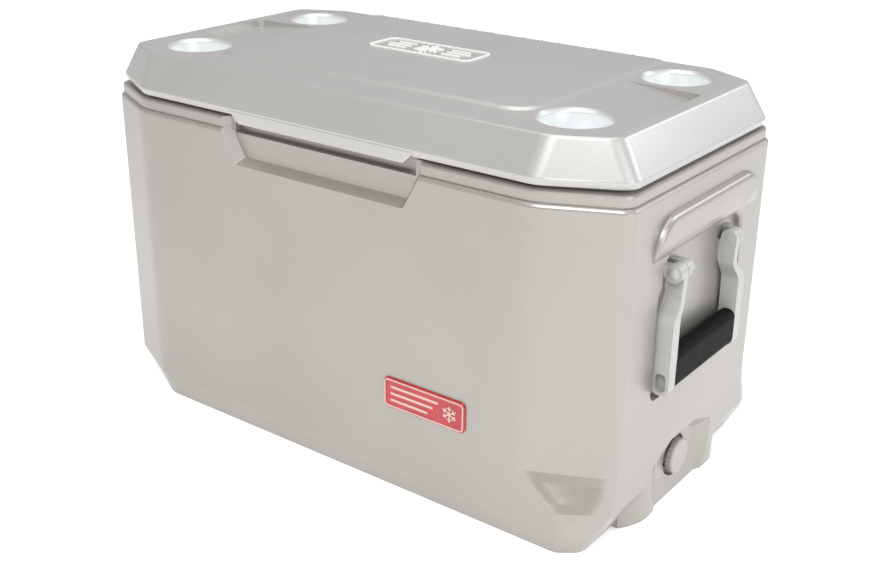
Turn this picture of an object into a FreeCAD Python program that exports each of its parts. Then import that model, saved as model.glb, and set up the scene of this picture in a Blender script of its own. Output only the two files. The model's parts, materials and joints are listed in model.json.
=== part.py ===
import FreeCAD, Part
import math
import os

from FreeCAD import Vector

os.makedirs("parts", exist_ok=True)

# Insulated chest cooler with a hinged lid, millimetres.
# X runs along the front, the front faces -Y, Z is up, and the origin is the middle of the footprint.

# Body
BODY_A = 361.0            # half length of the outer shell
BODY_B = 199.0            # half depth
BODY_CHAMFER = (88.0, 41.0)
BODY_CORNER = (16.0, 62.0)   # rounds where a cut corner meets the end and the long side
FOOT_TOP = 98.0             # height at which the right foot has widened into the cut corner
WALL = 3.2
SHELL_TOP = 377.0         # seam between the shell and the rim band
SHOULDER = 4.4            # round at the shell's top edge, and how far the rim band stands back
RIM_TOP = 389.6           # top of the rim band, where the lid rests
FOOT_B = 191.0            # half depth of the footprint

# Liner
CAVITY_TOP = (325.0, 164.0)
CAVITY_BOTTOM = (313.0, 151.0)
CAVITY_FLOOR = 26.0
CAVITY_RADIUS = 46.0
FLOOR_ROUND = 9.0
LINER_WALL = 3.0

# Lid
LID_LOW = 394.0
LID_RIDGE = 401.0
LID_TOP = 439.3
LID_WALL = 3.0
LID_RIM = (358.0, 195.3, 85.5, 43.6)
LID_CROWN = (335.4, 176.1, 58.7, 30.6)
LID_CORNER = (20.0, 36.0)    # rounds of the lid, like those of the body
PANEL_HALF = 222.0
PANEL_FRONT = -128.0
PANEL_REAR = 174.0
PANEL_HEIGHT = 3.0
PANEL_EDGE = 6.5          # width of the soft slope round the panel
CUP_AT = (264.4, 107.8)
CUP_R = 38.0
CUP_DEPTH = 27.0
TRAY_DEPTH = 8.0

# Bail handles
PIVOT_X = 366.0
PIVOT_Z = 288.0
PIVOT_R = 4.0
RUN_CLEAR = 0.06          # radial clearance of a pin that turns
ARM_UPPER = (57.0, 66.0)
ARM_LOWER = (70.0, 85.0)
ARM_FOOT = 157.0
GRIP_HALF = 69.7
RECESS_FLOOR = 353.5
RECESS_TOP = 306.0
RECESS_HALF = 83.0
HOOD_EDGE = (110.0, 354.0)  # half width and top of the hood where it leaves the wall
HOOD_RIDGE = (100.0, 346.0)
HOOD_RISE = 8.0
HOOD_REACH = 16.0           # the hood and its hollow run this much further one way than the other

# Hinges
HINGE_X = 195.0
HINGE_Y = 205.0
HINGE_Z = 392.0
HINGE_R = 5.0
HINGE_PIN_R = 2.5

# Drain
DRAIN_Z = 42.0
DRAIN_BORE_R = 8.0
DRAIN_TUBE_R = 11.0
DRAIN_FLANGE_R = 15.0
DRAIN_FLANGE_X = 310.0    # inner face of the tube's flange
DRAIN_CAP_R = 20.5
DRAIN_WELL_R = 25.0
WELL_FLOOR = 345.0
POCKET_FLOOR = 351.0
POCKET_SILL = 356.5       # where the pocket's floor meets the ground


def box(x0, x1, y0, y1, z0, z1):
    return Part.makeBox(x1 - x0, y1 - y0, z1 - z0, Vector(x0, y0, z0))


def cylinder(radius, start, end):
    axis = end - start
    return Part.makeCylinder(radius, axis.Length, start, axis)


def cone(r0, r1, start, end):
    axis = end - start
    return Part.makeCone(r0, r1, axis.Length, start, axis)


def mirrored_y(shape):
    return shape.mirror(Vector(0, 0, 0), Vector(0, 1, 0))


def turned(shape):
    """Half a turn about the vertical, which carries the right end onto the left end."""
    copy = shape.copy()
    copy.rotate(Vector(0, 0, 0), Vector(0, 0, 1), 180)
    return copy


def fused(shapes):
    whole = shapes[0]
    if len(shapes) > 1:
        whole = whole.multiFuse(shapes[1:])
    return whole.removeSplitter()


def rounded_wire(points, radii):
    """Closed wire through the points with every corner turned by an arc of its radius."""
    count = len(points)
    starts = []
    ends = []
    mids = []
    for i in range(count):
        corner = points[i]
        back = points[i - 1] - corner
        ahead = points[(i + 1) % count] - corner
        back.normalize()
        ahead.normalize()
        half = back.getAngle(ahead) / 2.0
        reach = radii[i] / math.tan(half)
        bisector = back + ahead
        bisector.normalize()
        centre = corner + bisector * (radii[i] / math.sin(half))
        starts.append(corner + back * reach)
        ends.append(corner + ahead * reach)
        mids.append(centre - bisector * radii[i])
    edges = []
    for i in range(count):
        edges.append(Part.Arc(starts[i], mids[i], ends[i]).toShape())
        edges.append(Part.makeLine(ends[i], starts[(i + 1) % count]))
    return Part.Wire(edges)


def cut_corner(a, b, cx, cy, inset):
    """Both ends of one cut corner of a rectangle, after every side moves in by the inset."""
    size = math.hypot(cx, cy)
    nx = cy / size
    ny = cx / size
    reach = nx * (a - cx) + ny * b - inset
    side_y = (reach - nx * (a - inset)) / ny
    front_x = (reach - ny * (b - inset)) / nx
    return (a - inset, side_y), (front_x, b - inset)


def octagon_of(right, left, right_rounds, left_rounds, z):
    """Octagon from its right and left pairs of corner points and rounds, the same in front and at the rear."""
    points = [right[0], right[1], (-left[1][0], left[1][1]), (-left[0][0], left[0][1])]
    points = points + [(x, -y) for x, y in reversed(points)]
    corners = [Vector(x, y, z) for x, y in points]
    rounds = [right_rounds[0], right_rounds[1], left_rounds[1], left_rounds[0]]
    return rounded_wire(corners, rounds + rounds[::-1])


def octagon(a, b, cx, cy, rounds, z, inset=0.0):
    """Rectangle with cut corners, every side moved in by the inset and every corner rounded."""
    corner = cut_corner(a, b, cx, cy, inset)
    return octagon_of(corner, corner, rounds, rounds, z)


def eased(steps):
    """Even steps from 0 to 1, each with its place on a smooth rise from 0 to 1."""
    fractions = [i / steps for i in range(steps + 1)]
    return [(t, t * t * (3.0 - 2.0 * t)) for t in fractions]


def quarter(steps):
    """Sine and cosine at even steps through a quarter turn, both ends included."""
    angles = [math.pi / 2 * i / steps for i in range(steps + 1)]
    return [(math.sin(angle), math.cos(angle)) for angle in angles]


def rounded_rectangle(a, b, radius, z):
    corners = [Vector(a, b, z), Vector(-a, b, z), Vector(-a, -b, z), Vector(a, -b, z)]
    return rounded_wire(corners, [radius] * 4)


def spline(points):
    curve = Part.BSplineCurve()
    curve.interpolate(points)
    return curve.toShape()


def loft(wires):
    return Part.makeLoft(wires, True, True)


def extruded(wire, direction):
    return Part.Face(wire).extrude(direction)


def edges_at(shape, test):
    """Edges of which every sampled point passes the test."""
    found = []
    for edge in shape.Edges:
        points = edge.discretize(5)
        if all(test(p) for p in points):
            found.append(edge)
    return found


# ---------------------------------------------------------------- outer shell

def body_form(inset):
    """Outer form of the body: octagonal walls on drawn-in feet, with a rounded shoulder on top."""
    cx, cy = BODY_CHAMFER
    plain = (BODY_A, cx, cy, BODY_CORNER[0], BODY_CORNER[1])
    foot = (BODY_A, 36.0, 27.0, 30.0, 30.0)
    levels = [
        (0.0, FOOT_B, (BODY_A - 23.0, 22.0, 17.0, 17.0, 17.0), (BODY_A - 23.0, 70.0, 41.0, 14.0, 40.0)),
        (31.0, BODY_B, (BODY_A - 5.5, 29.0, 23.0, 24.0, 24.0), plain),
    ]  # height, half depth, and half length, cut corner and its two rounds at the right and left ends
    low = 44.0
    for t, part in eased(6):
        widened = [f + (p - f) * part for f, p in zip(foot, plain)]
        levels.append((low + (FOOT_TOP - low) * t, BODY_B, widened, plain))
    wires = []
    for z, b, right, left in levels:
        corners = [cut_corner(end[0], b, end[1], end[2], inset) for end in (right, left)]
        rounds = [(end[3] - inset * 0.5, end[4] - inset * 0.5) for end in (right, left)]
        wires.append(octagon_of(corners[0], corners[1], rounds[0], rounds[1], max(z, inset)))
    for rise, run in quarter(4):
        z = SHELL_TOP - SHOULDER * (1.0 - rise)
        edge = inset + SHOULDER * (1.0 - run)
        rounds = [radius - edge * 0.5 for radius in BODY_CORNER]
        wires.append(octagon(BODY_A, BODY_B, cx, cy, rounds, z, edge))
    return loft(wires)


def foot_block(inset):
    """Full-length block in the middle of each end that carries the drain down to the floor."""
    outline = [(345, 112), (354, 99), (359.5, 84), (360.6, 66), (359.0, 48), (357.2, 34), (357.0, 0)]
    upper = [Vector(x - inset, y, inset) for x, y in outline]
    lower = [Vector(p.x, -p.y, p.z) for p in reversed(upper[:-1])]
    curve = Part.BSplineCurve()
    curve.interpolate(upper + lower)
    first = upper[0]
    last = lower[-1]
    back_a = Vector(300, last.y, inset)
    back_b = Vector(300, first.y, inset)
    edges = [curve.toShape(), Part.makeLine(last, back_a), Part.makeLine(back_a, back_b)]
    edges.append(Part.makeLine(back_b, first))
    return extruded(Part.Wire(edges), Vector(0, 0, 50 - inset))


def arch(x, half, top, radius, foot):
    """Upright arch outline in the plane of an end wall."""
    far = half + HOOD_REACH
    corners = [Vector(x, -half, foot), Vector(x, far, foot), Vector(x, far, top), Vector(x, -half, top)]
    return rounded_wire(corners, [4.0, 4.0, radius, radius])


def upright_rectangle(x, half, low, high, radius):
    """Upright rounded rectangle in the plane of an end wall."""
    corners = [Vector(x, -half, low), Vector(x, half, low), Vector(x, half, high), Vector(x, -half, high)]
    return rounded_wire(corners, [radius] * 4)


def handle_recess(grow):
    """Hollow behind a bail handle: its roof rolls out to the hood's ridge, its foot clears the arms."""
    rings = []
    run = BODY_A + HOOD_RISE - RECESS_FLOOR
    for out, back in quarter(5):
        half = HOOD_RIDGE[0] - (HOOD_RIDGE[0] - RECESS_HALF) * back + grow
        top = HOOD_RIDGE[1] - (HOOD_RIDGE[1] - RECESS_TOP) * back + grow
        rings.append(arch(RECESS_FLOOR + run * out - grow, half, top, 16.0 + 11.0 * out + grow, 210.0))
    rings.append(arch(BODY_A + 20.0, HOOD_RIDGE[0] + grow, HOOD_RIDGE[1] + grow, 27.0 + grow, 210.0))
    low = ARM_FOOT - 6.0 - grow
    inner = upright_rectangle(RECESS_FLOOR - grow, ARM_LOWER[1] + 4.0 + grow, low, 270.0 + grow, 9.0 + grow)
    outer = upright_rectangle(BODY_A, ARM_LOWER[1] + 7.5 + grow, low - 3.0, 276.0 + grow, 12.0 + grow)
    clear = upright_rectangle(BODY_A + 20.0, ARM_LOWER[1] + 7.5 + grow, low - 3.0, 276.0 + grow, 12.0 + grow)
    return fused([loft(rings), loft([inner, outer, clear])])


def hood():
    """Rounded arch that stands proud round the top of the handle recess and fades out at its feet."""
    rings = [arch(RECESS_FLOOR - 2.0, HOOD_EDGE[0], HOOD_EDGE[1], 36.0, 250.0)]
    for out, back in quarter(5):
        half = HOOD_RIDGE[0] + (HOOD_EDGE[0] - HOOD_RIDGE[0]) * back
        top = HOOD_RIDGE[1] + (HOOD_EDGE[1] - HOOD_RIDGE[1]) * back
        rings.append(arch(BODY_A + HOOD_RISE * out, half, top, 36.0 - 9.0 * out, 250.0))
    roll = loft(rings)
    curve = spline([
        Vector(BODY_A - 4.0, -200, 303),
        Vector(BODY_A + 0.5, -200, 310),
        Vector(BODY_A + 5.5, -200, 322),
        Vector(BODY_A + 8.2, -200, 336),
        Vector(BODY_A + 9.0, -200, 352),
    ])
    top = Vector(BODY_A + 9.0, -200, 400)
    back = Vector(300, -200, 400)
    low = Vector(300, -200, 303)
    start = Vector(BODY_A - 4.0, -200, 303)
    rest = [Part.makeLine(Vector(BODY_A + 9.0, -200, 352), top), Part.makeLine(top, back)]
    rest = rest + [Part.makeLine(back, low), Part.makeLine(low, start)]
    keep = extruded(Part.Wire([curve] + rest), Vector(0, 400, 0))
    return roll.common(keep)


def scoop(grow):
    """Finger scoop under the lid's lip, with a sloping sill and sides, and a deep slot behind the lip."""
    face = -BODY_B - 1.0
    back = -BODY_B + 12.5 + grow
    outer = [(-146 - grow, 395), (-144 - grow, 379), (-120.5 - grow, 338 - grow)]
    inner = [(-135 - grow, 395), (-134.5 - grow, 380), (-116.4 - grow, 345.5 - grow)]
    rings = []
    for y, half in ((face, outer), (back, inner)):
        points = [Vector(x, y, z) for x, z in half]
        points = points + [Vector(-p.x, p.y, p.z) for p in reversed(points)]
        rings.append(rounded_wire(points, [1.0, 6.0, 5.0, 5.0, 6.0, 1.0]))
    slot = box(-128 - grow, 128 + grow, -BODY_B + 5.0, -BODY_B + 21.0 + grow, 372.0 - grow, 395)
    return fused([loft(rings), slot])


def drain_pocket(grow):
    """Hollow round the drain in the right end, open towards the ground, with a deeper round well in it."""
    inner = [(38, -2), (44, 26), (44, 58), (20, 70)]
    outer = [(64, -2), (80, 26), (80, 62), (32, 80)]
    rings = []
    for x, half in ((POCKET_FLOOR - grow, inner), (BODY_A + 3.0, outer)):
        points = [Vector(x, y + grow, z + grow if z > 30 else z) for y, z in half]
        points = points + [Vector(p.x, -p.y, p.z) for p in reversed(points)]
        rings.append(Part.makePolygon(points + [points[0]]))
    sill = [
        Vector(300, -100, -3),
        Vector(POCKET_SILL - grow, -100, -3),
        Vector(POCKET_FLOOR - grow, -100, DRAIN_Z - DRAIN_WELL_R + 8.0),
        Vector(300, -100, DRAIN_Z - DRAIN_WELL_R + 8.0),
    ]
    block = extruded(Part.makePolygon(sill + [sill[0]]), Vector(0, 200, 0))
    well = cylinder(DRAIN_WELL_R + grow, Vector(WELL_FLOOR - grow, 0, DRAIN_Z), Vector(BODY_A, 0, DRAIN_Z))
    return fused([loft(rings).cut(block), well])


def shell_void():
    """Space inside the shell that the foam and the liner fill."""
    void = fused([body_form(WALL), foot_block(WALL), turned(foot_block(WALL))])
    void = void.cut(handle_recess(WALL))
    void = void.cut(turned(handle_recess(WALL)))
    void = void.cut(scoop(WALL))
    return void.cut(drain_pocket(WALL))


def outer_shell(void):
    form = fused([body_form(0), foot_block(0), turned(foot_block(0)), hood(), turned(hood())])
    form = form.cut(handle_recess(0))
    form = form.cut(turned(handle_recess(0)))
    form = form.cut(scoop(0))
    form = form.cut(drain_pocket(0))
    form = form.cut(void)
    hole = cylinder(DRAIN_TUBE_R, Vector(330, 0, DRAIN_Z), Vector(380, 0, DRAIN_Z))
    return form.cut(hole)


# ---------------------------------------------------------------- liner and foam

def tub(grow, floor, top):
    """Tapered tub with round corners."""
    low = rounded_rectangle(CAVITY_BOTTOM[0] + grow, CAVITY_BOTTOM[1] + grow, CAVITY_RADIUS + grow, floor)
    high = rounded_rectangle(CAVITY_TOP[0] + grow, CAVITY_TOP[1] + grow, CAVITY_RADIUS + grow, top)
    return loft([low, high])


def cavity():
    """Inside of the tub, with a round all along the edge of its floor."""
    wires = []
    for rise, run in quarter(4):
        inset = FLOOR_ROUND * (1.0 - rise)
        a, b = (half - inset for half in CAVITY_BOTTOM)
        wires.append(rounded_rectangle(a, b, CAVITY_RADIUS - inset, CAVITY_FLOOR + FLOOR_ROUND * (1.0 - run)))
    wires.append(rounded_rectangle(CAVITY_TOP[0], CAVITY_TOP[1], CAVITY_RADIUS, RIM_TOP + 1.0))
    return loft(wires)


def liner_outside():
    return tub(LINER_WALL, CAVITY_FLOOR - LINER_WALL, RIM_TOP)


def rim_band():
    """Band round the mouth that covers the shell's top and carries the lid."""
    cx, cy = BODY_CHAMFER
    levels = [
        (SHELL_TOP, SHOULDER - 0.6),
        (SHELL_TOP + 2.0, SHOULDER - 1.4),
        (RIM_TOP - 2.2, SHOULDER - 1.2),
        (RIM_TOP - 0.6, SHOULDER - 0.6),
        (RIM_TOP, SHOULDER + 1.0),
    ]
    band = loft([octagon(BODY_A, BODY_B, cx, cy, BODY_CORNER, z, inset) for z, inset in levels])
    return band.cut(scoop(0)).cut(liner_outside())


def inner_liner():
    """Tub with a flat seat for the drain's flange."""
    hole = cylinder(DRAIN_TUBE_R, Vector(DRAIN_FLANGE_X - 20.0, 0, DRAIN_Z), Vector(330, 0, DRAIN_Z))
    seat = cylinder(DRAIN_FLANGE_R + 0.5, Vector(280, 0, DRAIN_Z), Vector(DRAIN_FLANGE_X + 3.0, 0, DRAIN_Z))
    return liner_outside().cut(hole).cut(cavity()).cut(seat)


def foam_core(void):
    foam = void.cut(liner_outside())
    hole = cylinder(DRAIN_TUBE_R, Vector(300, 0, DRAIN_Z), Vector(350, 0, DRAIN_Z))
    return foam.cut(hole)


# ---------------------------------------------------------------- lid

def lid_form(inset, low=LID_LOW):
    """Outer form of the lid, every face moved in by the inset."""
    rim_a, rim_b, rim_x, rim_y = LID_RIM
    top_a, top_b, top_x, top_y = LID_CROWN
    wires = [
        octagon(rim_a, rim_b, rim_x, rim_y, LID_CORNER, low, inset + 2.4),
        octagon(rim_a, rim_b, rim_x, rim_y, LID_CORNER, LID_RIDGE, inset),
        octagon(top_a, top_b, top_x, top_y, LID_CORNER, LID_TOP - inset, inset),
    ]
    return loft(wires)


def raised_panel():
    """Slightly raised field in the middle of the lid with a soft slope all round."""
    middle = (PANEL_FRONT + PANEL_REAR) / 2.0
    depth = (PANEL_REAR - PANEL_FRONT) / 2.0
    rings = []
    for inset, rise in ((0.0, -1.0), (0.0, 0.0), (0.18, 0.1), (0.82, 0.9), (1.0, 1.0)):
        edge = PANEL_EDGE * inset
        z = LID_TOP + PANEL_HEIGHT * rise
        a = PANEL_HALF - edge
        front = middle - depth + edge
        rear = middle + depth - edge
        corners = [Vector(-a, front, z), Vector(a, front, z), Vector(a, rear, z), Vector(-a, rear, z)]
        rings.append(rounded_wire(corners, [34.0 - edge, 34.0 - edge, 9.0, 9.0]))
    return loft(rings)


def cup(grow):
    """Tapered cup holder with a flared lip, on its own axis."""
    floor = LID_TOP - CUP_DEPTH - grow
    start = Vector(0, 0, floor)
    rim = Vector(0, 0, LID_TOP + 6.0)
    return cone(CUP_R - 4.5 + grow, CUP_R + grow, start, rim)


def cup_lip():
    return cone(CUP_R - 1.0, CUP_R + 3.0, Vector(0, 0, LID_TOP - 3.6), Vector(0, 0, LID_TOP + 0.4))


def at_cups(shape):
    copies = []
    for sx in (-1, 1):
        for sy in (-1, 1):
            copy = shape.copy()
            copy.translate(Vector(sx * CUP_AT[0], sy * CUP_AT[1], 0))
            copies.append(copy)
    return copies


def tray():
    """Shallow trapezoid tray whose floor falls away towards the end of the lid."""
    near = PANEL_HALF + 3.0
    corners = [Vector(x, y, LID_TOP - 20.0) for x, y in ((near, -60), (321, -54), (321, 54), (near, 60))]
    block = extruded(rounded_wire(corners, [5.0, 8.0, 8.0, 5.0]), Vector(0, 0, 21))
    drop = [
        Vector(near + 3.0, -100, LID_TOP),
        Vector(330, -100, LID_TOP - TRAY_DEPTH - 1.0),
        Vector(330, -100, LID_TOP + 1.0),
        Vector(near + 3.0, -100, LID_TOP + 1.0),
    ]
    keep = extruded(Part.makePolygon(drop + [drop[0]]), Vector(0, 200, 0))
    return block.common(keep)


def lip():
    """Deeper stretch of the rim above the finger scoop, flush with the lid's ridge."""
    front = -LID_RIM[1] + 0.3
    low_edge = 384.5
    plan = [(-133, 400), (133, 400), (117, low_edge), (-117, low_edge)]
    corners = [Vector(x, front, z) for x, z in plan]
    flap = extruded(rounded_wire(corners, [1.0, 1.0, 6.0, 6.0]), Vector(0, 4.6, 0))
    low = edges_at(flap, lambda p: p.z < low_edge + 0.5 and p.y < front + 0.1)
    return flap.makeFillet(2.0, low)


def hinge_pad(side):
    x = side * HINGE_X
    return box(x - 27, x + 27, 188, 197, LID_LOW + 2.6, 424)


def lid_shell(void):
    form = lid_form(0)
    crown = edges_at(form, lambda p: p.z > LID_TOP - 0.1)
    form = form.makeFillet(4.0, crown)
    ridge = edges_at(form, lambda p: abs(p.z - LID_RIDGE) < 0.1)
    form = form.makeFillet(2.6, ridge)
    form = fused([form, raised_panel(), hinge_pad(-1), hinge_pad(1), lip()])
    form = form.cut(void)
    for hollow in at_cups(cup(0)) + at_cups(cup_lip()):
        form = form.cut(hollow)
    return form.cut(tray()).cut(turned(tray()))


def lid_void(wall):
    """Space inside the lid, with walls left round the cup holders and under the trays."""
    void = lid_form(wall, LID_LOW - 2.0)
    for hollow in at_cups(cup(wall)):
        void = void.cut(hollow)
    drop = box(222 - wall, 327 + wall, -60 - wall, 60 + wall, LID_TOP - TRAY_DEPTH - 2.0 - wall, LID_TOP)
    return void.cut(drop).cut(turned(drop))


def plug(grow, low, high):
    a = CAVITY_TOP[0] - 2.5 - grow
    b = CAVITY_TOP[1] - 2.5 - grow
    wires = [
        rounded_rectangle(a - 2.0, b - 2.0, CAVITY_RADIUS - 4.0, low),
        rounded_rectangle(a, b, CAVITY_RADIUS - 2.0, high),
    ]
    return loft(wires)


def lid_pan():
    """Inner face of the lid: a rim that rests on the liner and a shallow plug that drops into it."""
    rim_a, rim_b, rim_x, rim_y = LID_RIM
    rest = RIM_TOP + 0.3
    rim = loft([
        octagon(rim_a, rim_b, rim_x, rim_y, LID_CORNER, rest, 12.0),
        octagon(rim_a, rim_b, rim_x, rim_y, LID_CORNER, LID_LOW, 9.0),
    ])
    skin = loft([
        octagon(rim_a, rim_b, rim_x, rim_y, LID_CORNER, LID_LOW, 6.0),
        octagon(rim_a, rim_b, rim_x, rim_y, LID_CORNER, LID_LOW + 2.0, 5.3),
    ])
    drop = plug(0, 374.0, rest)
    low = edges_at(drop, lambda p: p.z < 374.1)
    drop = drop.makeFillet(6.0, low)
    hollow = plug(LINER_WALL, 377.0, LID_LOW + 3.0)
    return fused([rim, skin, drop]).cut(hollow)


def lid_foam():
    """Foam that fills the lid between its shell and its pan."""
    upper = lid_void(LID_WALL + 0.3).cut(box(-400, 400, -300, 300, 300, LID_LOW + 2.0))
    lower = plug(LINER_WALL, 377.0, LID_LOW + 3.0)
    return fused([upper, lower])


def flake_arm(length, width, height):
    """One arm of a six-armed frost star with a pair of barbs."""
    bars = [box(0, length, -width / 2, width / 2, 0, height)]
    for side in (-1, 1):
        barb = box(0, length * 0.34, -width / 2, width / 2, 0, height)
        barb.rotate(Vector(0, 0, 0), Vector(0, 0, 1), side * 55)
        barb.translate(Vector(length * 0.55, 0, 0))
        bars.append(barb)
    return bars


def frost_star(length, width, height):
    arms = []
    for i in range(6):
        for bar in flake_arm(length, width, height):
            bar.rotate(Vector(0, 0, 0), Vector(0, 0, 1), 60 * i + 30)
            arms.append(bar)
    return fused(arms)


def frame_ring(half_x, half_y, radius, width, height):
    outer = extruded(rounded_rectangle(half_x, half_y, radius, 0), Vector(0, 0, height))
    inner = extruded(rounded_rectangle(half_x - width, half_y - width, radius - width, -1), Vector(0, 0, height + 2))
    return outer.cut(inner)


def lid_emblem():
    """Raised rounded frame with a frost star between plain bars."""
    height = 1.6
    pieces = [frame_ring(75, 27, 11, 2.6, height), frost_star(18, 2.4, height)]
    for side in (-1, 1):
        for row in (-1, 0, 1):
            far = 60 - 7 * abs(row)
            near = 27
            x0, x1 = sorted((side * near, side * far))
            pieces.append(box(x0, x1, row * 11 - 1.5, row * 11 + 1.5, 0, height))
    whole = Part.makeCompound(pieces)
    whole.translate(Vector(-26, 36, LID_TOP + PANEL_HEIGHT))
    return whole


def lid_ruler():
    """Raised length marks along the rear edge of the lid, one every inch."""
    marks = []
    top = LID_TOP + PANEL_HEIGHT
    rear = PANEL_REAR - PANEL_EDGE - 0.5
    for i in range(17):
        x = (i - 8) * 25.4
        reach = 9.0 if i % 2 == 0 else 6.0
        marks.append(box(x - 0.9, x + 0.9, rear - reach, rear, top, top + 0.9))
    return Part.makeCompound(marks)


# ---------------------------------------------------------------- badge

def badge_base():
    """Plate of the front badge, flat on the front wall."""
    plate = extruded(rounded_rectangle(54.5, 18.0, 6.0, 0), Vector(0, 0, 2.2))
    rim = edges_at(plate, lambda p: p.z > 2.1)
    return plate.makeFillet(0.8, rim)


def on_front(shape):
    """Stand a flat shape up against the front wall where the badge sits."""
    shape.rotate(Vector(0, 0, 0), Vector(1, 0, 0), 90)
    shape.translate(Vector(150, -BODY_B, 124))
    return shape


def badge_emblem():
    """Pale border, frost star and bars raised from the plate."""
    height = 1.0
    pieces = [frame_ring(53.0, 16.5, 5.0, 1.5, height)]
    star = frost_star(9.5, 1.5, height)
    star.translate(Vector(35, 0, 0))
    pieces.append(star)
    for row, reach in ((1, 20), (0, 13), (-1, 6)):
        pieces.append(box(-44, reach, row * 8 - 1.4, row * 8 + 1.4, 0, height))
    whole = Part.makeCompound(pieces)
    whole.translate(Vector(0, 0, 2.2))
    return whole


# ---------------------------------------------------------------- bail handle, right end

def arm_side_form():
    """Arm seen along the pivot axis: round head, straight shank, round foot."""
    head = 9.5
    left = PIVOT_X - 9.0
    right = PIVOT_X + 11.0
    corners = [
        Vector(left, -100, ARM_FOOT),
        Vector(right, -100, ARM_FOOT),
        Vector(right, -100, 238),
        Vector(PIVOT_X + head - 1.5, -100, 262),
        Vector(PIVOT_X + head, -100, PIVOT_Z + head),
        Vector(PIVOT_X - head, -100, PIVOT_Z + head),
    ]
    outline = rounded_wire(corners, [9.0, 9.0, 20.0, 20.0, 9.0, 9.0])
    return extruded(outline, Vector(0, 200, 0))


def arm_front_form():
    """Arm seen from the end of the cooler: an S that spreads towards the grip."""
    bend = [0.0, 0.06, 0.5, 0.94, 1.0]
    levels = [264.0, 258.0, 249.0, 240.0, 234.0]
    x = PIVOT_X - 12
    edges = []
    sides = []
    for k in (0, 1):
        top = ARM_UPPER[k]
        low = ARM_LOWER[k]
        sides.append([Vector(x, top + (low - top) * t, z) for t, z in zip(bend, levels)])
    inner, outer = sides
    top_z = PIVOT_Z + 14
    foot_z = ARM_FOOT - 1
    edges.append(Part.makeLine(Vector(x, inner[0].y, top_z), inner[0]))
    edges.append(spline(inner))
    edges.append(Part.makeLine(inner[-1], Vector(x, inner[-1].y, foot_z)))
    edges.append(Part.makeLine(Vector(x, inner[-1].y, foot_z), Vector(x, outer[-1].y, foot_z)))
    edges.append(Part.makeLine(Vector(x, outer[-1].y, foot_z), outer[-1]))
    edges.append(spline(list(reversed(outer))))
    edges.append(Part.makeLine(outer[0], Vector(x, outer[0].y, top_z)))
    edges.append(Part.makeLine(Vector(x, outer[0].y, top_z), Vector(x, inner[0].y, top_z)))
    return extruded(Part.Wire(edges), Vector(30, 0, 0))


def handle_arm():
    """The arm on the rear side, with its pivot hole and the pocket at the end of the grip."""
    arm = arm_side_form().common(arm_front_form())
    hole = cylinder(PIVOT_R + RUN_CLEAR, Vector(PIVOT_X, 40, PIVOT_Z), Vector(PIVOT_X, 90, PIVOT_Z))
    corners = [
        Vector(PIVOT_X - 5.5, 76, 156.5 + 4),
        Vector(PIVOT_X + 7.5, 76, 156.5 + 4),
        Vector(PIVOT_X + 7.5, 76, 182),
        Vector(PIVOT_X - 5.5, 76, 182),
    ]
    pocket = extruded(rounded_wire(corners, [6.2] * 4), Vector(0, 20, 0))
    return arm.cut(hole).cut(pocket)


def grip_section(x0, x1, z0, z1, radius, y):
    corners = [Vector(x0, y, z0), Vector(x1, y, z0), Vector(x1, y, z1), Vector(x0, y, z1)]
    return rounded_wire(corners, [radius] * 4)


def handle_bar(y0, y1, grow):
    wire = grip_section(361 - grow, 373 + grow, 166 - grow, 195 + grow, 5.0 + grow, y0)
    return extruded(wire, Vector(0, y1 - y0, 0))


def handle_frame():
    arm = handle_arm()
    return fused([arm, mirrored_y(arm), handle_bar(-ARM_LOWER[0] - 1, ARM_LOWER[0] + 1, 0)])


def handle_grip():
    """Soft dark sleeve moulded round the bar."""
    wire = grip_section(358.0, 377.4, 159.5, 202.0, 8.8, -GRIP_HALF)
    sleeve = extruded(wire, Vector(0, 2 * GRIP_HALF, 0))
    return sleeve.cut(handle_bar(-GRIP_HALF - 1, GRIP_HALF + 1, 0))


def lug(y0, y1, radius):
    """Barrel round the pivot with a web back to the recess floor."""
    barrel = cylinder(radius, Vector(PIVOT_X, y0, PIVOT_Z), Vector(PIVOT_X, y1, PIVOT_Z))
    web = box(RECESS_FLOOR, PIVOT_X, y0, y1, PIVOT_Z - radius * 0.7, PIVOT_Z + radius)
    return fused([barrel, web])


def handle_brackets():
    """Lugs fixed in the recess: one outside each arm, and one inside the front arm."""
    gap = 0.4
    outer = fused([
        lug(ARM_UPPER[1] + gap, 73.0, 9.6),
        box(RECESS_FLOOR, PIVOT_X - 7.6, 72.0, 78.5, PIVOT_Z - 3, PIVOT_Z + 9.6),
    ])
    inner = fused([
        lug(-ARM_UPPER[0] + gap, -ARM_UPPER[0] + 7.0, 9.6),
        lug(-ARM_UPPER[0] + 6.0, -ARM_UPPER[0] + 17.0, 7.2),
    ])
    bore_rear = cylinder(PIVOT_R, Vector(PIVOT_X, 50, PIVOT_Z), Vector(PIVOT_X, 90, PIVOT_Z))
    bore_front = cylinder(PIVOT_R, Vector(PIVOT_X, -90, PIVOT_Z), Vector(PIVOT_X, -44, PIVOT_Z))
    front = mirrored_y(outer).cut(bore_front)
    return Part.makeCompound([outer.cut(bore_rear), front, inner.cut(bore_front)])


def dome(y, sign):
    ball = Part.makeSphere(8.6, Vector(PIVOT_X, y - sign * 5.6, PIVOT_Z))
    reach = sorted((y, y + sign * 12))
    return ball.common(box(PIVOT_X - 10, PIVOT_X + 10, reach[0], reach[1], PIVOT_Z - 10, PIVOT_Z + 10))


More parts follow.
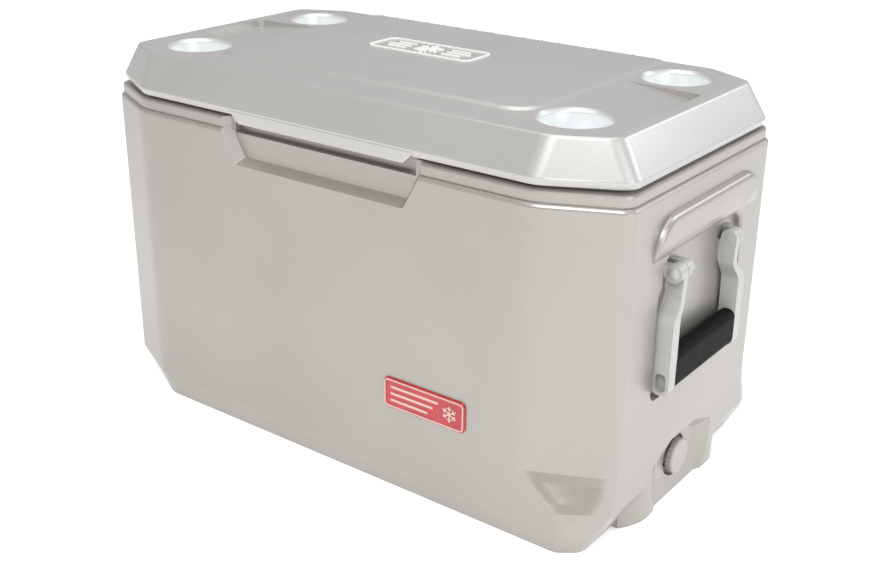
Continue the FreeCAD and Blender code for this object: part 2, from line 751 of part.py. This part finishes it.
def handle_pins():
    """Domed pivot pins, one through each arm."""
    rear = fused([
        cylinder(PIVOT_R, Vector(PIVOT_X, ARM_UPPER[0] - 0.4, PIVOT_Z), Vector(PIVOT_X, 73.4, PIVOT_Z)),
        dome(73.0, 1),
    ])
    front = fused([
        cylinder(PIVOT_R, Vector(PIVOT_X, -73.4, PIVOT_Z), Vector(PIVOT_X, -44, PIVOT_Z)),
        dome(-73.0, -1),
    ])
    return Part.makeCompound([rear, front])


# ---------------------------------------------------------------- rear hinges

def hinge_base(side):
    """Body leaf with the two outer knuckles."""
    x = side * HINGE_X
    leaf = box(x - 26, x + 26, BODY_B, BODY_B + 3, 338, 386)
    pieces = [leaf]
    for knuckle_x in (x - 26, x + 11):
        start = Vector(knuckle_x, HINGE_Y, HINGE_Z)
        pieces.append(cylinder(HINGE_R, start, start + Vector(15, 0, 0)))
        pieces.append(box(knuckle_x, knuckle_x + 15, BODY_B, HINGE_Y + 1, 380, HINGE_Z - 1.5))
    bore = cylinder(HINGE_PIN_R, Vector(x - 40, HINGE_Y, HINGE_Z), Vector(x + 40, HINGE_Y, HINGE_Z))
    whole = fused(pieces).cut(bore)
    for hole in hinge_holes(side, base=True):
        whole = whole.cut(hole)
    return whole


def hinge_flap(side):
    """Lid leaf with the middle knuckle."""
    x = side * HINGE_X
    start = Vector(x - 10.5, HINGE_Y, HINGE_Z)
    pieces = [
        box(x - 26, x + 26, 197, 200, 399, 423),
        cylinder(HINGE_R, start, start + Vector(21, 0, 0)),
        box(x - 10.5, x + 10.5, 197, HINGE_Y + 1, HINGE_Z + 1.5, 402),
    ]
    bore = cylinder(HINGE_PIN_R + RUN_CLEAR, Vector(x - 40, HINGE_Y, HINGE_Z), Vector(x + 40, HINGE_Y, HINGE_Z))
    whole = fused(pieces).cut(bore)
    for hole in hinge_holes(side, base=False):
        whole = whole.cut(hole)
    return whole


def screw_places(side, base):
    x = side * HINGE_X
    if base:
        return [(x + dx, BODY_B + 3, z) for dx, z in ((-16, 374), (16, 374), (-16, 350), (16, 350))]
    return [(x + dx, 200.0, 412.0) for dx in (-18, 18)]


def hinge_holes(side, base):
    holes = []
    for x, y, z in screw_places(side, base):
        holes.append(cylinder(2.2, Vector(x, y + 1, z), Vector(x, y - 4, z)))
    return holes


def screw(x, y, z):
    """Pan-head screw seated on the leaf, its shank in the leaf's hole."""
    shank = cylinder(2.2, Vector(x, y - 3.0, z), Vector(x, y + 0.5, z))
    head = cylinder(4.2, Vector(x, y, z), Vector(x, y + 1.8, z))
    rim = edges_at(head, lambda p: p.y > y + 1.7)
    head = head.makeFillet(1.0, rim)
    slot_a = box(x - 2.2, x + 2.2, y + 0.9, y + 3, z - 0.5, z + 0.5)
    slot_b = box(x - 0.5, x + 0.5, y + 0.9, y + 3, z - 2.2, z + 2.2)
    return fused([shank, head]).cut(slot_a).cut(slot_b)


def hinge_screws(base):
    screws = []
    for side in (-1, 1):
        for x, y, z in screw_places(side, base):
            screws.append(screw(x, y, z))
    return Part.makeCompound(screws)


def hinge_pin(side):
    x = side * HINGE_X
    shaft = cylinder(HINGE_PIN_R, Vector(x - 26.5, HINGE_Y, HINGE_Z), Vector(x + 26.5, HINGE_Y, HINGE_Z))
    caps = []
    for end in (-1, 1):
        start = Vector(x + end * 26.0, HINGE_Y, HINGE_Z)
        caps.append(cylinder(3.6, start, start + Vector(end * 1.6, 0, 0)))
    return fused([shaft] + caps)


# ---------------------------------------------------------------- drain, right end

def ring(radius, bore, x0, x1):
    solid = cylinder(radius, Vector(x0, 0, DRAIN_Z), Vector(x1, 0, DRAIN_Z))
    return solid.cut(cylinder(bore, Vector(x0 - 1, 0, DRAIN_Z), Vector(x1 + 1, 0, DRAIN_Z)))


def drain_tube():
    """Flanged tube from the cavity through the wall."""
    tube = ring(DRAIN_TUBE_R, DRAIN_BORE_R, DRAIN_FLANGE_X, WELL_FLOOR + 11.5)
    flange = ring(DRAIN_FLANGE_R, DRAIN_BORE_R, DRAIN_FLANGE_X, DRAIN_FLANGE_X + 3.0)
    return fused([tube, flange])


def drain_gasket():
    return ring(17.0, DRAIN_TUBE_R, WELL_FLOOR, WELL_FLOOR + 2.0)


def drain_nut():
    """Hexagonal nut that clamps the tube in the well."""
    x0 = WELL_FLOOR + 2.0
    points = []
    for i in range(6):
        angle = math.radians(60 * i)
        points.append(Vector(x0, 18.0 * math.cos(angle), DRAIN_Z + 18.0 * math.sin(angle)))
    body = extruded(Part.makePolygon(points + [points[0]]), Vector(4.5, 0, 0))
    return body.cut(cylinder(DRAIN_TUBE_R, Vector(x0 - 1, 0, DRAIN_Z), Vector(x0 + 9, 0, DRAIN_Z)))


def drain_cap():
    """Plain screw cap with a softly rounded face, its rim fluted for the fingers."""
    x0 = WELL_FLOOR + 7.0
    front = BODY_A - 1.4
    body = cylinder(DRAIN_CAP_R, Vector(x0, 0, DRAIN_Z), Vector(front, 0, DRAIN_Z))
    rim = edges_at(body, lambda p: p.x > front - 0.1)
    body = body.makeFillet(2.6, rim)
    hollow = cylinder(DRAIN_TUBE_R + 0.3, Vector(x0 - 1, 0, DRAIN_Z), Vector(WELL_FLOOR + 12.0, 0, DRAIN_Z))
    whole = body.cut(hollow)
    flutes = 20
    for i in range(flutes):
        angle = 2.0 * math.pi * i / flutes
        y = (DRAIN_CAP_R + 0.7) * math.cos(angle)
        z = DRAIN_Z + (DRAIN_CAP_R + 0.7) * math.sin(angle)
        whole = whole.cut(cylinder(1.5, Vector(x0 - 1, y, z), Vector(front - 2.4, y, z)))
    return whole


# ---------------------------------------------------------------- everything

def build():
    void = shell_void()
    frame = handle_frame()
    grip = handle_grip()
    pins = handle_pins()
    brackets = handle_brackets()
    nodes = {
        "outer_shell": outer_shell(void),
        "rim_band": rim_band(),
        "inner_liner": inner_liner(),
        "foam_core": foam_core(void),
        "lid_shell": lid_shell(lid_void(LID_WALL)),
        "lid_pan": lid_pan(),
        "lid_foam": lid_foam(),
        "lid_emblem": lid_emblem(),
        "lid_ruler": lid_ruler(),
        "badge_plate": on_front(badge_base()),
        "badge_emblem": on_front(badge_emblem()),
        "handle_right_frame": frame,
        "handle_right_grip": grip,
        "handle_right_pins": pins,
        "handle_right_brackets": brackets,
        "handle_left_frame": turned(frame),
        "handle_left_grip": turned(grip),
        "handle_left_pins": turned(pins),
        "handle_left_brackets": turned(brackets),
        "hinge_left_base": hinge_base(-1),
        "hinge_right_base": hinge_base(1),
        "hinge_left_flap": hinge_flap(-1),
        "hinge_right_flap": hinge_flap(1),
        "hinge_left_pin": hinge_pin(-1),
        "hinge_right_pin": hinge_pin(1),
        "hinge_base_screws": hinge_screws(True),
        "hinge_flap_screws": hinge_screws(False),
        "drain_tube": drain_tube(),
        "drain_gasket": drain_gasket(),
        "drain_nut": drain_nut(),
        "drain_cap": drain_cap(),
    }
    for name, shape in nodes.items():
        shape.exportStep("parts/" + name + ".step")
        bounds = shape.BoundBox
        print(name, len(shape.Solids), shape.isValid(), round(shape.Volume / 1000.0, 1),
              [round(v, 1) for v in (bounds.XMin, bounds.XMax, bounds.YMin, bounds.YMax, bounds.ZMin, bounds.ZMax)])


build()
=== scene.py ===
import json
import math

import bpy
from mathutils import Matrix, Vector


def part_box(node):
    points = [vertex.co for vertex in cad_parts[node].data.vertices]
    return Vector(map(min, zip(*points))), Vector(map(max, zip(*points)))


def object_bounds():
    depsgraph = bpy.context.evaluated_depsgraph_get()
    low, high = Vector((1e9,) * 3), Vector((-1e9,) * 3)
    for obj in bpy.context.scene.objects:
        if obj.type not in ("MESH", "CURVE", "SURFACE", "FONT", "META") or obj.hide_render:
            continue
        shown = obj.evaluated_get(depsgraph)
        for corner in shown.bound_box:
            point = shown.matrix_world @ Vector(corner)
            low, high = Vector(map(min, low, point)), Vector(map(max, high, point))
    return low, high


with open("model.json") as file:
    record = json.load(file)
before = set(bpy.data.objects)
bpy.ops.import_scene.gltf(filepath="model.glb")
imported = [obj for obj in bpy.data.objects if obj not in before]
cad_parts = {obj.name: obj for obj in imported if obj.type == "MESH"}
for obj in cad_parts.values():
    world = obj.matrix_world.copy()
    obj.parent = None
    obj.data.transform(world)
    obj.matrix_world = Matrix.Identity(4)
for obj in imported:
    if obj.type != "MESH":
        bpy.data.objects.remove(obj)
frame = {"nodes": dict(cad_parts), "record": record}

cad_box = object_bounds()

# Camera of the view to match: angles in degrees, place in metres.
CAMERA_AZIMUTH = 36.41
CAMERA_HEIGHT_ANGLE = 22.82
CAMERA_ROLL = 0.70
CAMERA_AT = Vector((0.859, -1.1269, 0.756))
LENS_MM = 49.94

# Studio
CENTRE = Vector((0.0, 0.0, 0.22))
WORLD_STRENGTH = 0.52
FLOOR_GLOW = 0.36
FLOOR_HALF = 30.0
FLOOR_GAP = 0.0005
LIGHTS = {
    "key": ((0.8, -2.15, 2.6), (1.3, 1.0), 62.0, (1.0, 1.0, 1.0)),
    "right_box": ((2.9, -0.7, 1.3), (1.6, 1.6), 26.0, (0.88, 0.95, 1.0)),
    "top_box": ((0.0, 0.2, 2.8), (2.2, 2.2), 30.0, (0.98, 0.99, 1.0)),
    "rear_box": ((1.9, 2.3, 1.9), (1.6, 1.2), 28.0, (0.92, 0.97, 1.0)),
}  # place, size in metres, power in watts and colour

# Colours, linear
PEARL = (0.350, 0.328, 0.302)
PEARL_LID = (0.465, 0.452, 0.437)
PEARL_HANDLE = (0.40, 0.39, 0.375)
# Paler colour painted into the lid's cup holders: painted light, standing in for the light that gathers in
# the cups
CUP_PAINTED_LIGHT = (0.80, 0.82, 0.82, 1.0)

# Cup holders and lid, in metres
CUP_RADIUS = 0.040
CUP_EDGE = 0.003          # width over which the painted light in the cups ends
CUP_FADE_DEPTH = 0.006    # depth below the lid's top at which the painted light in the cups is full
PANEL_RISE = 0.003        # height of the lid's raised panel


# ---------------------------------------------------------------- camera and studio

def camera():
    """Camera whose turn is worked out from its azimuth, height angle and roll."""
    az = math.radians(CAMERA_AZIMUTH)
    el = math.radians(CAMERA_HEIGHT_ANGLE)
    back = Vector((math.sin(az) * math.cos(el), -math.cos(az) * math.cos(el), math.sin(el)))
    right = (-back).cross(Vector((0, 0, 1))).normalized()
    up = right.cross(-back)
    c = math.cos(math.radians(CAMERA_ROLL))
    s = math.sin(math.radians(CAMERA_ROLL))
    turn = Matrix((c * right + s * up, c * up - s * right, back)).transposed()
    data = bpy.data.cameras.new("camera")
    data.lens = LENS_MM
    data.sensor_width = 36.0
    data.clip_start = 0.05
    thing = bpy.data.objects.new("camera", data)
    thing.matrix_world = Matrix.Translation(CAMERA_AT) @ turn.to_4x4()
    bpy.context.scene.collection.objects.link(thing)
    bpy.context.scene.camera = thing


def area_light(name, at, size, power, colour):
    data = bpy.data.lights.new(name, "AREA")
    data.shape = "RECTANGLE"
    data.size = size[0]
    data.size_y = size[1]
    data.energy = power
    data.color = colour
    thing = bpy.data.objects.new(name, data)
    aim = CENTRE - Vector(at)
    thing.matrix_world = Matrix.Translation(at) @ aim.to_track_quat("-Z", "Y").to_matrix().to_4x4()
    bpy.context.scene.collection.objects.link(thing)


def studio():
    scene = bpy.context.scene
    scene.view_settings.view_transform = "Standard"
    world = bpy.data.worlds.new("studio")
    world.use_nodes = True
    world.node_tree.nodes["Background"].inputs["Color"].default_value = (1, 1, 1, 1)
    world.node_tree.nodes["Background"].inputs["Strength"].default_value = WORLD_STRENGTH
    scene.world = world
    for name, (at, size, power, colour) in LIGHTS.items():
        area_light(name, at, size, power, colour)


def floor():
    """Wide pale floor just below the lowest point of the part."""
    mesh = bpy.data.meshes.new("floor")
    half = FLOOR_HALF
    corners = [(-half, -half, 0), (half, -half, 0), (half, half, 0), (-half, half, 0)]
    mesh.from_pydata(corners, [], [(0, 1, 2, 3)])
    thing = bpy.data.objects.new("floor", mesh)
    bpy.context.scene.collection.objects.link(thing)
    thing.location.z = cad_box[0][2] - FLOOR_GAP
    thing.data.materials.append(floor_paint())


# ---------------------------------------------------------------- material parts

def new_material(name):
    """Material with its shader, and the object's own coordinates for its textures."""
    material = bpy.data.materials.new(name)
    material.use_nodes = True
    tree = material.node_tree
    place = tree.nodes.new("ShaderNodeTexCoord").outputs["Object"]
    return material, tree, tree.nodes["Principled BSDF"], place


def noise(tree, place, scale, detail=2.0):
    node = tree.nodes.new("ShaderNodeTexNoise")
    node.inputs["Scale"].default_value = scale
    node.inputs["Detail"].default_value = detail
    tree.links.new(place, node.inputs["Vector"])
    return node.outputs["Fac"]


def shade_of(colour, factor):
    return [min(1.0, channel * factor) for channel in colour] + [1.0]


def two_tone(tree, shader, value, low, high, spread=0.15):
    """Base colour that drifts between two colours as the value goes through its middle."""
    ramp = tree.nodes.new("ShaderNodeValToRGB")
    ramp.color_ramp.elements[0].position = 0.5 - spread
    ramp.color_ramp.elements[1].position = 0.5 + spread
    ramp.color_ramp.elements[0].color = low
    ramp.color_ramp.elements[1].color = high
    tree.links.new(value, ramp.inputs["Fac"])
    tree.links.new(ramp.outputs["Color"], shader.inputs["Base Color"])


def uneven_roughness(tree, shader, value, low, high):
    spread = tree.nodes.new("ShaderNodeMapRange")
    spread.inputs["To Min"].default_value = low
    spread.inputs["To Max"].default_value = high
    tree.links.new(value, spread.inputs["Value"])
    tree.links.new(spread.outputs["Result"], shader.inputs["Roughness"])


def surface_grain(tree, shader, value, height, strength=0.5):
    """Relief of the given height in metres."""
    bump = tree.nodes.new("ShaderNodeBump")
    bump.inputs["Strength"].default_value = strength
    bump.inputs["Distance"].default_value = height
    tree.links.new(value, bump.inputs["Height"])
    tree.links.new(bump.outputs["Normal"], shader.inputs["Normal"])


def blended(tree, first, second, share):
    """Blend of two values, all of the first at a share of 0 and all of the second at 1."""
    node = tree.nodes.new("ShaderNodeMix")
    node.inputs["Factor"].default_value = share
    tree.links.new(first, node.inputs["A"])
    tree.links.new(second, node.inputs["B"])
    return node.outputs["Result"]


def faded(tree, value, none_at, full_at):
    """0 where the value is none_at and 1 where it is full_at, with a straight run between."""
    node = tree.nodes.new("ShaderNodeMapRange")
    node.inputs["From Min"].default_value = none_at
    node.inputs["From Max"].default_value = full_at
    tree.links.new(value, node.inputs["Value"])
    return node.outputs["Result"]


def toned(tree, shader, value, colour):
    """Turns the base colour into the given one where the value is 1."""
    base = shader.inputs["Base Color"].links[0].from_socket
    mix = tree.nodes.new("ShaderNodeMix")
    mix.data_type = "RGBA"
    first, second = [socket for socket in mix.inputs if socket.type == "RGBA"]
    result = [socket for socket in mix.outputs if socket.type == "RGBA"][0]
    tree.links.new(value, mix.inputs["Factor"])
    tree.links.new(base, first)
    second.default_value = colour
    tree.links.new(result, shader.inputs["Base Color"])


def inside_cups(tree, place):
    """1 inside the lid's cup holders and 0 elsewhere, the mask of the painted light there. The four mirror
    each other, so one place is enough.
    """
    openings = {opening["name"]: opening["box_m"] for opening in frame["record"]["physics"]["openings"]}
    low, high = openings["cup_rear_right"]
    split = tree.nodes.new("ShaderNodeSeparateXYZ")
    tree.links.new(place, split.inputs["Vector"])
    away = tree.nodes.new("ShaderNodeCombineXYZ")
    for index, axis in enumerate("XY"):
        size = tree.nodes.new("ShaderNodeMath")
        size.operation = "ABSOLUTE"
        tree.links.new(split.outputs[axis], size.inputs[0])
        from_middle = tree.nodes.new("ShaderNodeMath")
        from_middle.operation = "SUBTRACT"
        from_middle.inputs[1].default_value = (low[index] + high[index]) / 2
        tree.links.new(size.outputs["Value"], from_middle.inputs[0])
        tree.links.new(from_middle.outputs["Value"], away.inputs[axis])
    distance = tree.nodes.new("ShaderNodeVectorMath")
    distance.operation = "LENGTH"
    tree.links.new(away.outputs["Vector"], distance.inputs["Vector"])
    near = faded(tree, distance.outputs["Value"], CUP_RADIUS + CUP_EDGE, CUP_RADIUS)
    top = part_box("lid_shell")[1][2] - PANEL_RISE
    below = faded(tree, split.outputs["Z"], top, top - CUP_FADE_DEPTH)
    both = tree.nodes.new("ShaderNodeMath")
    both.operation = "MULTIPLY"
    tree.links.new(near, both.inputs[0])
    tree.links.new(below, both.inputs[1])
    return both.outputs["Value"]


# ---------------------------------------------------------------- materials

def pearl(name, colour, flake=0.05, metallic=0.5, roughness=0.34):
    """Pearl plastic: soft metallic sheen, slow drifts in tone and fine flakes."""
    material, tree, shader, place = new_material(name)
    drift = noise(tree, place, 5.0)
    flakes = noise(tree, place, 900.0, 1.0)
    value = blended(tree, drift, flakes, 0.5)
    two_tone(tree, shader, value, shade_of(colour, 1 - flake), shade_of(colour, 1 + flake))
    uneven_roughness(tree, shader, flakes, roughness - 0.05, roughness + 0.05)
    surface_grain(tree, shader, noise(tree, place, 420.0), 0.00006)
    shader.inputs["Metallic"].default_value = metallic
    return material


def pearl_with_cups(name, colour):
    """Pearl plastic of the lid, with painted light in the cup holders: a paler colour standing in for the
    light they gather.
    """
    material = pearl(name, colour)
    tree = material.node_tree
    place = tree.nodes.new("ShaderNodeTexCoord").outputs["Object"]
    # Painted light: the cup holders get a paler colour in place of the light they gather
    toned(tree, tree.nodes["Principled BSDF"], inside_cups(tree, place), CUP_PAINTED_LIGHT)
    return material


def plain_plastic(name, colour, roughness=0.35):
    """Smooth moulded plastic with faint flow marks."""
    material, tree, shader, place = new_material(name)
    flow = noise(tree, place, 18.0, 3.0)
    two_tone(tree, shader, flow, shade_of(colour, 0.97), shade_of(colour, 1.02))
    uneven_roughness(tree, shader, flow, roughness - 0.04, roughness + 0.05)
    surface_grain(tree, shader, noise(tree, place, 700.0), 0.00003)
    return material


def grip_rubber(name):
    """Dark matt sleeve with a fine leathery grain."""
    material, tree, shader, place = new_material(name)
    grain = noise(tree, place, 600.0, 3.0)
    two_tone(tree, shader, grain, (0.004, 0.004, 0.004, 1.0), (0.009, 0.009, 0.008, 1.0))
    uneven_roughness(tree, shader, noise(tree, place, 60.0), 0.50, 0.66)
    surface_grain(tree, shader, grain, 0.00022, 0.8)
    shader.inputs["Specular IOR Level"].default_value = 0.06
    return material


def badge_enamel(name):
    """Glossy red enamel, a little deeper in places."""
    material, tree, shader, place = new_material(name)
    depth = noise(tree, place, 40.0)
    two_tone(tree, shader, depth, (0.36, 0.008, 0.014, 1.0), (0.45, 0.014, 0.020, 1.0))
    uneven_roughness(tree, shader, noise(tree, place, 90.0), 0.16, 0.26)
    surface_grain(tree, shader, noise(tree, place, 300.0), 0.00003)
    shader.inputs["Coat Weight"].default_value = 0.5
    return material


def printed(name, colour):
    """Pale foil print with slight wear in its tone."""
    material, tree, shader, place = new_material(name)
    wear = noise(tree, place, 260.0, 4.0)
    two_tone(tree, shader, wear, shade_of(colour, 0.93), shade_of(colour, 1.03))
    uneven_roughness(tree, shader, wear, 0.28, 0.42)
    return material


def steel(name):
    """Brushed stainless steel, its scratches drawn out along one way."""
    material, tree, shader, place = new_material(name)
    stretch = tree.nodes.new("ShaderNodeMapping")
    stretch.inputs["Scale"].default_value = (40.0, 1200.0, 1200.0)
    tree.links.new(place, stretch.inputs["Vector"])
    scratches = noise(tree, stretch.outputs["Vector"], 1.0, 2.0)
    two_tone(tree, shader, scratches, (0.50, 0.50, 0.50, 1.0), (0.64, 0.64, 0.63, 1.0))
    uneven_roughness(tree, shader, scratches, 0.22, 0.36)
    surface_grain(tree, shader, scratches, 0.00002)
    shader.inputs["Metallic"].default_value = 1.0
    return material


def soft_seal(name):
    """Black rubber seal."""
    material, tree, shader, place = new_material(name)
    grain = noise(tree, place, 500.0)
    two_tone(tree, shader, grain, (0.012, 0.012, 0.012, 1.0), (0.022, 0.022, 0.022, 1.0))
    uneven_roughness(tree, shader, grain, 0.6, 0.75)
    return material


def foam(name):
    """Cut closed-cell foam."""
    material, tree, shader, place = new_material(name)
    cells = noise(tree, place, 800.0, 3.0)
    two_tone(tree, shader, cells, (0.70, 0.62, 0.40, 1.0), (0.84, 0.76, 0.54, 1.0))
    uneven_roughness(tree, shader, cells, 0.8, 0.95)
    surface_grain(tree, shader, cells, 0.0003)
    return material


def floor_paint():
    material, tree, shader, place = new_material("floor_white")
    drift = noise(tree, place, 2.0)
    two_tone(tree, shader, drift, (0.925, 0.925, 0.925, 1.0), (0.935, 0.935, 0.935, 1.0))
    shader.inputs["Roughness"].default_value = 0.9
    shader.inputs["Specular IOR Level"].default_value = 0.1
    shader.inputs["Emission Color"].default_value = (1, 1, 1, 1)
    shader.inputs["Emission Strength"].default_value = FLOOR_GLOW
    return material


def give(slots, material):
    """The material goes to every node whose record slot is among those named."""
    for part in frame["record"]["subparts"]:
        if part["material_slot"] in slots:
            thing = frame["nodes"][part["node"]]
            thing.data.materials.clear()
            thing.data.materials.append(material)


def dress():
    give(["shell_plastic"], pearl("pearl_shell", PEARL))
    give(["lid_plastic"], pearl_with_cups("pearl_lid", PEARL_LID))
    give(["handle_plastic"], plain_plastic("handle_white", PEARL_HANDLE))
    give(["hinge_plastic"], plain_plastic("hinge_white", PEARL_HANDLE))
    give(["liner_plastic"], plain_plastic("liner_white", (0.56, 0.56, 0.55), 0.32))
    give(["drain_plastic"], plain_plastic("drain_white", PEARL))
    give(["emblem_white"], printed("emblem_white", (0.80, 0.80, 0.78)))
    give(["badge_pale"], printed("badge_pale", (0.62, 0.40, 0.36)))
    give(["badge_red"], badge_enamel("badge_red"))
    give(["grip_black"], grip_rubber("grip_black"))
    give(["steel"], steel("stainless"))
    give(["gasket"], soft_seal("seal_black"))
    give(["foam"], foam("foam_yellow"))


camera()
studio()
floor()
dress()
